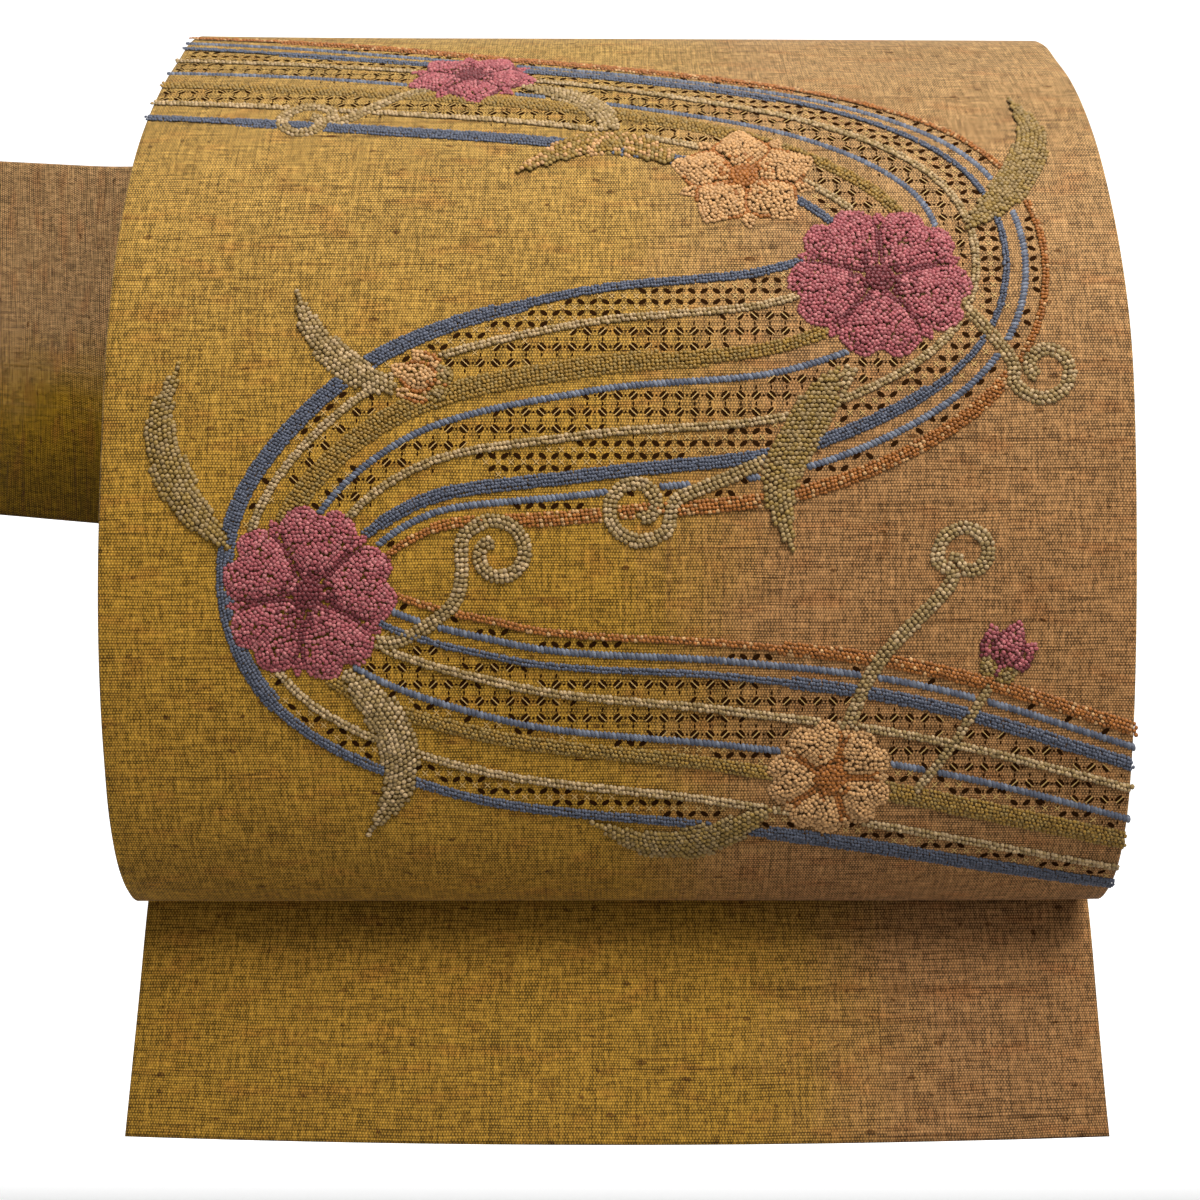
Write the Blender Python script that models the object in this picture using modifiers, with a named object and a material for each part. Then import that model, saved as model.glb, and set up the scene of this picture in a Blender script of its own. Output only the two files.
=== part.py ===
"""Obi sash tied as a drum: one long strip of lined silk, built as cloth walls.

The strip runs twice round the waist at half its width, stands out to the left as a
free end, and at full width makes the drum: up the back, over the ridge, down the
front, under, up inside to a fold, and down again as the hanging end.
X is to the right, Y goes away from the viewer, Z is up. The origin is the middle of
the waist, where the wearer holds the sash. Sizes are metres, the tables' millimetres.
"""

import math
from collections import namedtuple

import bmesh
import bpy
import numpy as np
from mathutils import Vector

MM = 0.001

# The strip.
HALF_WIDTH = 155.0  # half of the strip's full width
CLOTH = 0.0022  # face, lining and interlining of the full-width strip
BAND = 0.0032  # the same strip folded in half lengthwise
BAND_HEIGHT = 0.149
SEAM_GAP = 0.0003
LAYER_GAP = 0.0004

# The waist that it goes round, and the free end.
WAIST_HALF_X = 0.135
WAIST_HALF_Y = 0.110
TURN_STEP = BAND + LAYER_GAP
BACK_SPACE = 0.0102  # between the two legs of the free end, for the pleated stretch
LOOP_X = 0.152  # where the free end turns back on itself, behind the drum
FREE_END_LENGTH = 0.470  # from that turn to the sewn end
BEND_START = 0.312  # along it, where it begins to lean back
BEND_LENGTH = 0.040
LEAN = math.radians(9.0)
RISE_START = 0.187  # along it, where it begins to rise
RISE_LENGTH = 0.040
RISE = 0.091  # height gained for each metre along

# The drum's foremost point lies this far in front of the free end's outer face.
DRUM_DEPTH = 0.184
FREE_END_FACE = WAIST_HALF_Y + 2 * TURN_STEP + 2 * BAND + BACK_SPACE
DRUM_FRONT_Y = -FREE_END_FACE - DRUM_DEPTH

# The full-width strip's good face, station by station from the tie to the hanging end.
# back: mm behind the drum's foremost point. up: mm above the middle of the waist.
# half: half the width there. pleat: height of the pleats. bow: how far the middle
# stands forward of the edges.
Station = namedtuple("Station", "piece back up half pleat bow")
STATIONS = [
    Station("drum_back", 193.4, -45.0, 80.0, 3.4, 0.0),
    Station("drum_back", 193.4, -5.0, 96.0, 3.4, 0.0),
    Station("drum_back", 193.4, 35.0, 118.0, 2.6, 0.0),
    Station("drum_back", 193.0, 66.0, 139.0, 1.2, 0.0),
    Station("drum_back", 191.4, 84.0, 150.0, 0.3, 0.0),
    Station("drum_panel", 186.0, 97.0, HALF_WIDTH, 0.0, 0.0),
    Station("drum_panel", 174.5, 109.5, HALF_WIDTH, 0.0, 0.0),
    Station("drum_panel", 157.0, 117.6, HALF_WIDTH, 0.0, 0.0),
    Station("drum_panel", 137.5, 120.0, HALF_WIDTH, 0.0, 0.0),
    Station("drum_panel", 119.0, 116.7, HALF_WIDTH, 0.0, 0.0),
    Station("drum_panel", 103.0, 109.0, HALF_WIDTH, 0.0, 0.0),
    Station("drum_panel", 89.0, 99.0, HALF_WIDTH, 0.0, 0.0),
    Station("drum_panel", 70.0, 85.6, HALF_WIDTH, 0.0, 0.0),
    Station("drum_panel", 53.5, 71.2, HALF_WIDTH, 0.0, 0.0),
    Station("drum_panel", 39.5, 55.6, HALF_WIDTH, 0.0, 0.0),
    Station("drum_panel", 26.5, 35.3, HALF_WIDTH, 0.0, 0.0),
    Station("drum_panel", 15.5, 12.0, HALF_WIDTH, 0.0, 0.0),
    Station("drum_panel", 7.0, -13.0, HALF_WIDTH, 0.0, 0.0),
    Station("drum_panel", 2.0, -43.0, HALF_WIDTH, 0.0, 0.0),
    Station("drum_panel", 0.0, -78.0, HALF_WIDTH, 0.0, 0.0),
    Station("drum_panel", 1.6, -110.0, HALF_WIDTH, 0.0, 0.0),
    Station("drum_panel", 5.4, -138.0, HALF_WIDTH, 0.0, 0.0),
    Station("drum_panel", 11.0, -161.0, HALF_WIDTH, 0.0, 0.0),
    Station("drum_panel", 18.6, -175.0, HALF_WIDTH, 0.0, 0.0),
    Station("drum_panel", 28.5, -184.2, HALF_WIDTH, 0.0, 0.0),
    Station("drum_panel", 39.0, -188.9, HALF_WIDTH, 0.0, 0.0),
    Station("drum_panel", 46.0, -187.4, HALF_WIDTH, 0.0, 0.0),
    Station("drum_panel", 50.0, -181.5, HALF_WIDTH, 0.0, 0.0),
    Station("inner_fold", 54.0, -173.5, HALF_WIDTH, 0.0, 0.0),
    Station("inner_fold", 71.0, -148.5, HALF_WIDTH, 0.0, 0.0),
    Station("inner_fold", 97.0, -111.5, HALF_WIDTH, 0.0, 0.0),
    Station("inner_fold", 125.0, -72.0, HALF_WIDTH, 0.0, 0.0),
    Station("inner_fold", 155.0, -31.0, HALF_WIDTH, 0.0, 0.0),
    Station("tare", 175.2, -3.4, HALF_WIDTH, 0.0, 0.0),
    Station("tare", 177.9, 0.3, HALF_WIDTH, 0.0, 0.0),
    Station("tare", 179.6, 1.0, HALF_WIDTH, 0.0, 0.0),
    Station("tare", 180.8, -0.4, HALF_WIDTH, 0.0, 0.0),
    Station("tare", 180.2, -2.6, HALF_WIDTH, 0.0, 0.0),
    Station("tare", 174.0, -11.6, HALF_WIDTH, 0.0, 0.0),
    Station("tare", 150.0, -45.0, HALF_WIDTH, 0.0, 0.0),
    Station("tare", 112.0, -98.0, HALF_WIDTH, 0.0, 0.0),
    Station("tare", 76.0, -149.5, HALF_WIDTH, 0.0, 0.0),
    Station("tare", 61.0, -172.5, HALF_WIDTH, 0.0, 0.4),
    Station("tare", 51.2, -190.5, HALF_WIDTH, 0.0, 1.4),
    Station("tare", 39.6, -220.7, HALF_WIDTH, 0.0, 4.0),
    Station("tare", 26.0, -260.2, HALF_WIDTH, 0.0, 7.5),
]
PLEATS = 7
FINE = 24  # points worked out between two stations
TURN_WEIGHT = 0.016  # metres of length that a radian of turning counts for
END_ROW = 0.001  # a piece's first and last rows are this short, so that its ends meet square

# Wall grids: quads across the strip and along it.
Grid = namedtuple("Grid", "across along")
STRIP_GRIDS = {
    "drum_back": Grid(42, 16),
    "drum_panel": Grid(8, 64),
    "inner_fold": Grid(6, 18),
    "tare": Grid(10, 44),
}
TURN_GRID = Grid(3, 80)
FREE_END_ACROSS = 3  # its length takes one quad for each point of its path

OCHRE = (0.330, 0.208, 0.062, 1.0)
PINKISH_TAN = (0.330, 0.195, 0.105, 1.0)


def clear_scene():
    """Removes every object that the scene holds."""
    for thing in list(bpy.data.objects):
        bpy.data.objects.remove(thing, do_unlink=True)


def silk(name, colour):
    """A semi-matte silk."""
    made = bpy.data.materials.new(name)
    made.use_nodes = True
    shader = made.node_tree.nodes["Principled BSDF"]
    shader.inputs["Base Color"].default_value = colour
    shader.inputs["Roughness"].default_value = 0.62
    shader.inputs["Metallic"].default_value = 0.0
    return made


def wall(name, grid, place, thickness, colour, collection):
    """A cloth wall: a grid laid by place(across, along), both from 0 to 1, then thickened.

    The grid is the face that shows, and the thickness goes behind it.
    """
    bm = bmesh.new()
    bmesh.ops.create_grid(bm, x_segments=grid.across, y_segments=grid.along, size=0.5)
    for vertex in bm.verts:
        vertex.co = place(vertex.co.x + 0.5, vertex.co.y + 0.5)
    mesh = bpy.data.meshes.new(name)
    bm.to_mesh(mesh)
    bm.free()
    made = bpy.data.objects.new(name, mesh)
    collection.objects.link(made)
    thicken = made.modifiers.new("Thickness", "SOLIDIFY")
    thicken.thickness = thickness
    thicken.offset = -1.0
    thicken.use_even_offset = True
    mesh.materials.append(silk(name + "_silk", colour))
    return made


def slopes(rows, where):
    """The slope of each column at each row, weighted by the steps on both sides."""
    steps = np.diff(where)[:, None]
    chords = np.diff(rows, axis=0) / steps
    inner = (chords[:-1] * steps[1:] + chords[1:] * steps[:-1]) / (steps[1:] + steps[:-1])
    return np.vstack([chords[:1], inner, chords[-1:]])


def smooth_rows(rows):
    """A smooth curve through the rows, FINE points to a step."""
    where = np.concatenate([[0.0], np.cumsum(np.linalg.norm(np.diff(rows[:, :2], axis=0), axis=1))])
    slope = slopes(rows, where)
    part = np.linspace(0.0, 1.0, FINE, endpoint=False)[:, None]
    pieces = []
    for i, step in enumerate(np.diff(where)):
        pieces.append(
            (2 * part**3 - 3 * part**2 + 1) * rows[i]
            + (part**3 - 2 * part**2 + part) * step * slope[i]
            + (3 * part**2 - 2 * part**3) * rows[i + 1]
            + (part**3 - part**2) * step * slope[i + 1]
        )
    return np.vstack(pieces + [rows[-1:]])


class Strip:
    """The full-width strip's section, read by the length along its good face."""

    def __init__(self):
        rows = np.array([station[1:] for station in STATIONS]) * MM
        self.rows = smooth_rows(rows)
        steps = np.diff(self.rows[:, :2], axis=0)
        self.length = np.concatenate([[0.0], np.cumsum(np.linalg.norm(steps, axis=1))])
        heading = np.unwrap(np.arctan2(steps[:, 1], steps[:, 0]))
        turned = np.concatenate([[0.0], np.cumsum(np.abs(np.diff(heading))), [0.0]])
        turned[-1] = turned[-2]
        self.effort = self.length + TURN_WEIGHT * turned

    def read(self, along):
        """(back, up, half, pleat, bow) at a length."""
        return [np.interp(along, self.length, column) for column in self.rows.T]

    def span(self, piece):
        """The lengths at which a piece starts and ends, half a seam gap inside its seams."""
        first = min(i for i, station in enumerate(STATIONS) if station.piece == piece)
        last = max(i for i, station in enumerate(STATIONS) if station.piece == piece) + 1
        start = self.length[first * FINE]
        end = self.length[min(last * FINE, len(self.length) - 1)]
        return start + SEAM_GAP / 2, end - SEAM_GAP / 2

    def spread(self, piece, count):
        """count + 1 lengths down a piece, closer together where the strip turns."""
        start, end = self.span(piece)
        efforts = np.interp([start + END_ROW, end - END_ROW], self.length, self.effort)
        inside = np.interp(np.linspace(*efforts, count - 1), self.effort, self.length)
        return np.concatenate([[start], inside, [end]])

    def place(self, across, along):
        """A point of the good face, across from -1 to 1."""
        back, up, half, pleat, bow = self.read(along)
        before = self.read(along - 0.0002)
        after = self.read(along + 0.0002)
        run = Vector((after[0] - before[0], after[1] - before[1])).normalized()
        out = pleat * math.cos(math.pi * PLEATS * across)
        forward = bow * (1 - across**2)
        return Vector((across * half, DRUM_FRONT_Y + back + out * run.y - forward, up - out * run.x))


def make_strip_piece(strip, piece, colour, collection):
    """One stretch of the full-width strip."""
    grid = STRIP_GRIDS[piece]
    lengths = strip.spread(piece, grid.along)

    def place(across, along):
        return strip.place(1 - 2 * across, lengths[round(along * grid.along)])

    return wall(piece, grid, place, CLOTH, colour, collection)


def turn_point(turns):
    """The outer face of the waist band after that many turns from the middle of the back."""
    angle = math.radians(360.0 * turns - 90.0)
    out = TURN_STEP * turns + BAND
    return Vector(((WAIST_HALF_X + out) * math.cos(angle), (WAIST_HALF_Y + out) * math.sin(angle), 0.0))


def make_waist_turn(name, first, colour, collection):
    """One turn of the folded band round the waist."""
    round_it = 2 * math.pi * WAIST_HALF_X
    start = first + SEAM_GAP / 2 / round_it
    end = first + 1 - SEAM_GAP / 2 / round_it
    short = END_ROW / round_it
    turns = [start, *np.linspace(start + short, end - short, TURN_GRID.along - 1), end]

    def place(across, along):
        point = turn_point(turns[round(along * TURN_GRID.along)])
        return point + Vector((0.0, 0.0, BAND_HEIGHT * (0.5 - across)))

    return wall(name, TURN_GRID, place, BAND, colour, collection)


def eased(along, start, length):
    """The integral of a slope that grows from 0 to 1 over a stretch and then stays."""
    inside = min(max(along - start, 0.0), length)
    return inside**2 / (2 * length) + max(along - start - length, 0.0)


def free_end_path():
    """The free end's path in plan, with its height: out, round the turn, and back to the left.

    It follows the face on the inside of that turn.
    """
    near_y = -(WAIST_HALF_Y + 2 * TURN_STEP + BAND)
    radius = BACK_SPACE / 2
    points = [Vector((x, near_y, 0.0)) for x in np.linspace(SEAM_GAP, LOOP_X, 9)]
    for angle in np.linspace(0.0, math.pi, 15)[1:]:
        turned = Vector((math.sin(angle), math.cos(angle) - 1.0, 0.0)) * radius
        points.append(Vector((LOOP_X, near_y, 0.0)) + turned)
    for along in np.linspace(0.0, FREE_END_LENGTH, 42)[1:]:
        back = math.tan(LEAN) * eased(along, BEND_START, BEND_LENGTH)
        rise = RISE * eased(along, RISE_START, RISE_LENGTH)
        points.append(Vector((LOOP_X - along, near_y - BACK_SPACE + back, rise)))
    return points


def make_free_end(name, colour, collection):
    """The half-width end: it leaves the waist, turns back over the pleats and stands out to the left."""
    points = free_end_path()
    grid = Grid(FREE_END_ACROSS, len(points) - 1)

    def place(across, along):
        return points[round(along * grid.along)] + Vector((0.0, 0.0, BAND_HEIGHT * (0.5 - across)))

    return wall(name, grid, place, BAND, colour, collection)


def main():
    clear_scene()
    collection = bpy.data.collections.new("obi_sash")
    bpy.context.scene.collection.children.link(collection)
    strip = Strip()
    make_strip_piece(strip, "drum_back", PINKISH_TAN, collection)
    make_strip_piece(strip, "drum_panel", OCHRE, collection)
    make_strip_piece(strip, "inner_fold", OCHRE, collection)
    make_strip_piece(strip, "tare", OCHRE, collection)
    make_waist_turn("waist_wrap_inner", 0, PINKISH_TAN, collection)
    make_waist_turn("waist_wrap_outer", 1, PINKISH_TAN, collection)
    make_free_end("te", OCHRE, collection)


main()
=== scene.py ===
# %% [markdown]
# # An obi tied as a drum
# An obi is one long strip of silk. It goes twice round the waist at half its width, and then its full
# width makes a deep rounded panel, the drum, over a short hanging end. This script dresses the packed
# walls of that strip: it finishes the cloth, and sews knotted embroidery and drawn-thread work on it.

import math
import random
from collections import namedtuple

import bmesh
import bpy
import numpy as np
from mathutils import Matrix, Vector


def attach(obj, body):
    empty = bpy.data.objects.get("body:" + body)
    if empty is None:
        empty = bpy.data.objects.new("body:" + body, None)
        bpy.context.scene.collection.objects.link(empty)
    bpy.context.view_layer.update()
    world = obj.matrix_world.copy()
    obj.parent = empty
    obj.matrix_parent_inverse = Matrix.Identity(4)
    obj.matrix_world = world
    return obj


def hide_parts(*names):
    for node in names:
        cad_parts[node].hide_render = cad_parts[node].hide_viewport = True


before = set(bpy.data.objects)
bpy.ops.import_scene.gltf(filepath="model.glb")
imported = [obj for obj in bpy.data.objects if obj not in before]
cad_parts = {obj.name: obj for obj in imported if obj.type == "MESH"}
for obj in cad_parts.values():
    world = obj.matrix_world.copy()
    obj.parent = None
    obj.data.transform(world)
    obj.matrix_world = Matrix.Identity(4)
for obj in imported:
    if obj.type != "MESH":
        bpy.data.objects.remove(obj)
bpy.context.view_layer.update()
MM = 0.001  # metres
print("nodes to dress:", sorted(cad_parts))

# %% [markdown]
# ## The strip's section
# The full-width strip never bends sideways, so one section line says where all of it lies. It is a
# short table of stations with a smooth curve through them. Simulated cloth would sag differently on
# every run, but a line stays where the stiff silk of a real drum holds it.
#
# The place of a stitch can then be given as on the loom: millimetres across the strip, and
# millimetres along it. The `Strip` class turns those into a point, a normal and a direction.

# %% Section
HALF = 155.0  # half of the strip's width, mm
FRONT_Y = -317.8  # the drum's foremost point, mm
CLOTH = 2.2  # thickness of the lined strip, mm

# A station's place back from FRONT_Y and up, half its width, and how deep it is pleated and bowed, mm.
Station = namedtuple("Station", "back up half pleat bow")
SECTION = {
    "drum_back": [
        Station(193.4, -45.0, 80.0, 3.4, 0.0),
        Station(193.4, -5.0, 96.0, 3.4, 0.0),
        Station(193.4, 35.0, 118.0, 2.6, 0.0),
        Station(193.0, 66.0, 139.0, 1.2, 0.0),
        Station(191.4, 84.0, 150.0, 0.3, 0.0),
    ],
    "drum_panel": [
        Station(186.0, 97.0, HALF, 0.0, 0.0),
        Station(174.5, 109.5, HALF, 0.0, 0.0),
        Station(157.0, 117.6, HALF, 0.0, 0.0),
        Station(137.5, 120.0, HALF, 0.0, 0.0),
        Station(119.0, 116.7, HALF, 0.0, 0.0),
        Station(103.0, 109.0, HALF, 0.0, 0.0),
        Station(89.0, 99.0, HALF, 0.0, 0.0),
        Station(70.0, 85.6, HALF, 0.0, 0.0),
        Station(53.5, 71.2, HALF, 0.0, 0.0),
        Station(39.5, 55.6, HALF, 0.0, 0.0),
        Station(26.5, 35.3, HALF, 0.0, 0.0),
        Station(15.5, 12.0, HALF, 0.0, 0.0),
        Station(7.0, -13.0, HALF, 0.0, 0.0),
        Station(2.0, -43.0, HALF, 0.0, 0.0),
        Station(0.0, -78.0, HALF, 0.0, 0.0),
        Station(1.6, -110.0, HALF, 0.0, 0.0),
        Station(5.4, -138.0, HALF, 0.0, 0.0),
        Station(11.0, -161.0, HALF, 0.0, 0.0),
        Station(18.6, -175.0, HALF, 0.0, 0.0),
        Station(28.5, -184.2, HALF, 0.0, 0.0),
        Station(39.0, -188.9, HALF, 0.0, 0.0),
        Station(46.0, -187.4, HALF, 0.0, 0.0),
        Station(50.0, -181.5, HALF, 0.0, 0.0),
    ],
    "inner_fold": [
        Station(54.0, -173.5, HALF, 0.0, 0.0),
        Station(71.0, -148.5, HALF, 0.0, 0.0),
        Station(97.0, -111.5, HALF, 0.0, 0.0),
        Station(125.0, -72.0, HALF, 0.0, 0.0),
        Station(155.0, -31.0, HALF, 0.0, 0.0),
    ],
    "tare": [
        Station(175.2, -3.4, HALF, 0.0, 0.0),
        Station(177.9, 0.3, HALF, 0.0, 0.0),
        Station(179.6, 1.0, HALF, 0.0, 0.0),
        Station(180.8, -0.4, HALF, 0.0, 0.0),
        Station(180.2, -2.6, HALF, 0.0, 0.0),
        Station(174.0, -11.6, HALF, 0.0, 0.0),
        Station(150.0, -45.0, HALF, 0.0, 0.0),
        Station(112.0, -98.0, HALF, 0.0, 0.0),
        Station(76.0, -149.5, HALF, 0.0, 0.0),
        Station(61.0, -172.5, HALF, 0.0, 0.4),
        Station(51.2, -190.5, HALF, 0.0, 1.4),
        Station(39.6, -220.7, HALF, 0.0, 4.0),
        Station(26.0, -260.2, HALF, 0.0, 7.5),
    ],
}
print("stations:", {name: len(stations) for name, stations in SECTION.items()})

# %% Smooth section line
FINE = 24  # points worked out between two given ones


def smooth_rows(rows):
    """A smooth curve through the rows, FINE points to a step."""
    steps = np.linalg.norm(np.diff(rows[:, :2], axis=0), axis=1)[:, None]
    chords = np.diff(rows, axis=0) / steps
    inner = (chords[:-1] * steps[1:] + chords[1:] * steps[:-1]) / (steps[1:] + steps[:-1])
    slopes = np.vstack([chords[:1], inner, chords[-1:]])
    t = np.linspace(0.0, 1.0, FINE, endpoint=False)[:, None]
    pieces = [
        (2 * t**3 - 3 * t**2 + 1) * rows[i]
        + (t**3 - 2 * t**2 + t) * steps[i] * slopes[i]
        + (3 * t**2 - 2 * t**3) * rows[i + 1]
        + (t**3 - t**2) * steps[i] * slopes[i + 1]
        for i in range(len(steps))
    ]
    return np.vstack(pieces + [rows[-1:]])


# %% Ripples


def soft_waves(across, along):
    """How far the silk stands off the section, in mm: it ripples a little, most at its edges."""
    edge = np.abs(across / HALF)
    slow = 0.5 * np.sin(along / 44.0 + 1.3 * across / HALF + 0.8)
    ripple = 0.8 * edge**4 * np.sin(along / 21.0 + 2.5 * np.sign(across))
    return slow + ripple


# %% Strip class
PLEATS = 7  # in the drum's back
NEAR = 0.3  # mm from a place to the two neighbours that give its directions


class Strip:
    """The full-width strip. A place on it is mm across, and mm along from the drum panel's seam."""

    def __init__(self):
        self.rows = smooth_rows(np.array([s for stations in SECTION.values() for s in stations]))
        steps = np.linalg.norm(np.diff(self.rows[:, :2], axis=0), axis=1)
        length = np.concatenate([[0.0], np.cumsum(steps)])
        counts = np.cumsum([0] + [len(stations) for stations in SECTION.values()]) * FINE
        seams = length[np.minimum(counts, len(length) - 1)]
        self.length = length - seams[1]
        self.spans = {
            name: (seams[i] - seams[1], seams[i + 1] - seams[1]) for i, name in enumerate(SECTION)
        }

    def bare(self, across, along):
        """Points of the good face, in mm, without their normals."""
        back, up, half, pleat, bow = (np.interp(along, self.length, c) for c in self.rows.T)
        share = across / HALF
        forward = bow * (1 - share**2) - pleat * np.cos(math.pi * PLEATS * share)
        return np.stack([share * half, FRONT_Y + back - forward, up], axis=-1)

    def at(self, across, along, lift=0.0):
        """(points, normals, directions along), lifted off the good face by mm."""
        across, along = np.broadcast_arrays(np.asarray(across, float), np.asarray(along, float))
        down = self.bare(across, along + NEAR) - self.bare(across, along - NEAR)
        right = self.bare(across + NEAR, along) - self.bare(across - NEAR, along)
        down /= np.linalg.norm(down, axis=-1, keepdims=True)
        out = np.cross(down, right)
        out /= np.linalg.norm(out, axis=-1, keepdims=True)
        rise = np.asarray(lift + soft_waves(across, along))
        return self.bare(across, along) + out * rise[..., None], out, down


strip = Strip()
print("spans in mm:", {name: np.round(span, 1).tolist() for name, span in strip.spans.items()})

# %% [markdown]
# ## Shader maths
# A node graph is easier to read as a formula. `Value` wraps one output of a node, and its operators
# add Math nodes, so that `a * 0.5 + b` builds the graph for that sum.

# %% Value class


class Value:
    """One output of a material's nodes, usable in formulas."""

    def __init__(self, tree, socket):
        self.tree = tree
        self.socket = socket

    def node(self, kind, inputs=None, output=0, **settings):
        """Any other node, with its inputs given as {input: value}."""
        made = self.tree.nodes.new("ShaderNode" + kind)
        for setting, value in settings.items():
            setattr(made, setting, value)
        for name, value in (inputs or {}).items():
            if isinstance(value, Value):
                self.tree.links.new(value.socket, made.inputs[name])
            else:
                made.inputs[name].default_value = value
        return Value(self.tree, made.outputs[output])

    def math(self, operation, first, second=0.0):
        """A Math node of one or two inputs."""
        return self.node("Math", {0: first, 1: second}, operation=operation)

    def part(self, index):
        """One coordinate of a place: 0 is x, 1 is y and 2 is z."""
        return self.node("SeparateXYZ", {0: self}, output=index)

    def __add__(self, other):
        return self.math("ADD", self, other)

    def __sub__(self, other):
        return self.math("SUBTRACT", self, other)

    def __rsub__(self, other):
        return self.math("SUBTRACT", other, self)

    def __mul__(self, other):
        return self.math("MULTIPLY", self, other)

    def cosine(self):
        return self.math("COSINE", self)

    def step(self, low, high):
        """0 below low, 1 above high, and smooth between them."""
        ends = {"Value": self, "From Min": low, "From Max": high}
        return self.node("MapRange", ends, interpolation_type="SMOOTHSTEP", clamp=True)

    def stretched(self, x, y, z=1.0):
        """These coordinates, multiplied. More of them to the metre makes a noise finer."""
        return self.node("VectorMath", {0: self, 1: (x, y, z)}, operation="MULTIPLY")

    def noise(self, detail=2.0):
        """Smooth noise at these coordinates, about 0.5."""
        inputs = {"Vector": self, "Scale": 1.0, "Detail": detail, "Roughness": 0.5}
        return self.node("TexNoise", inputs)

    def mix(self, one, other):
        """From one colour at 0 to another at 1."""
        return self.node("Mix", {0: self, 6: one, 7: other}, output=2, data_type="RGBA")


# %% Material helpers


def new_material(name, roughness, sheen, specular=0.3):
    """A dull surface with some sheen: (material, its Principled node)."""
    made = bpy.data.materials.new(name)
    made.use_nodes = True
    shader = made.node_tree.nodes["Principled BSDF"]
    shader.inputs["Roughness"].default_value = roughness
    shader.inputs["Specular IOR Level"].default_value = specular
    shader.inputs["Sheen Weight"].default_value = sheen
    shader.inputs["Sheen Roughness"].default_value = 0.5
    return made, shader


def rgb(red, green, blue):
    """A colour given as 0-255 screen values, in the linear values that a shader uses."""
    levels = (red / 255, green / 255, blue / 255)
    return (*(v / 12.92 if v < 0.04 else ((v + 0.055) / 1.055) ** 2.4 for v in levels), 1.0)


def shade(colour, share):
    """A colour with its light multiplied by that share."""
    return (*(min(level * share, 1.0) for level in colour[:3]), 1.0)


# %% [markdown]
# ## Silk
# The cloth is plain-woven from hand-spun silk. Its threads swell and thin, so brown slubs lie along
# both directions of the weave, with a nub here and there. It is dyed in a gradient from ochre to a
# pinkish tan. Each of these is noise, stretched along the thread that makes it. The UV map holds the
# place on the strip in metres, so that the threads follow the cloth round every fold.

# %% Dyes and threads
OCHRE = rgb(155, 116, 41)
PINK_TAN = rgb(150, 109, 67)
OLIVE = rgb(124, 93, 16)
GREY_TAN = rgb(153, 119, 79)
# A pale tan painted as sheen where the drum's top ridge catches the light.
RIDGE_SHEEN_TAN = rgb(162, 139, 96)
SLUB = rgb(80, 48, 16)
RUST = rgb(142, 78, 34)
# A pale colour painted as a highlight where the turned edges catch the light.
EDGE_HIGHLIGHT = rgb(196, 160, 92)
WARP_PITCH = 0.88 * MM
WEFT_PITCH = 0.82 * MM

# How fine each unevenness is: noise to the metre across the strip, and along it.
WEFT_WANDER = (24, 90)
WARP_WANDER = (110, 20)
WEFT_THREAD = (120, 1000)
WARP_THREAD = (940, 130)
WEFT_STREAK = (15, 620)
WARP_STREAK = (560, 10)
WEFT_SLUB = (34, 950)
WARP_SLUB = (950, 40)
LONG_SLUB = (6, 460)
NUB = (210, 380)
FIBRE = (900, 700)
CLOUD = (22, 34)
RUSTY_PATCH = (60, 170)
print("threads to the cm, warp and weft:", [round(0.01 / pitch, 1) for pitch in (WARP_PITCH, WEFT_PITCH)])

# %% Weave and slubs


def plain_weave(across, along, flat):
    """How the light falls on plain weave: bright on each thread's crown, dark in the pits."""
    picks = along * (1 / WEFT_PITCH) + (flat.stretched(*WEFT_WANDER).noise(1.0) - 0.5) * 2.2
    drift = (flat.stretched(*WARP_WANDER).noise(1.0) - 0.5) * 2.2
    brick = (picks * math.pi).cosine() * 0.22
    warp_wave = ((across * (1 / WARP_PITCH) + drift + brick) * (2 * math.pi)).cosine()
    weft_wave = (picks * (2 * math.pi)).cosine()
    return (warp_wave + weft_wave) * 0.25 + warp_wave * weft_wave * 0.25 + 0.35


def slubs(flat):
    """The thick places of the threads, each from 0 to 1: (weft, warp, long, nubs)."""
    weft = flat.stretched(*WEFT_SLUB).noise(1.0).step(0.60, 0.74)
    warp = flat.stretched(*WARP_SLUB).noise(1.0).step(0.64, 0.78)
    long = flat.stretched(*LONG_SLUB).noise(0.0).step(0.70, 0.77)
    nubs = flat.stretched(*NUB).noise(0.0).step(0.75, 0.83)
    return weft, warp, long, nubs


# %% Silk
ACROSS, ALONG = 0, 1  # the two directions of the UV map
PaintedShade = namedtuple("PaintedShade", "axis start end share")
PaintedSheen = namedtuple("PaintedSheen", "start end share")


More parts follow.
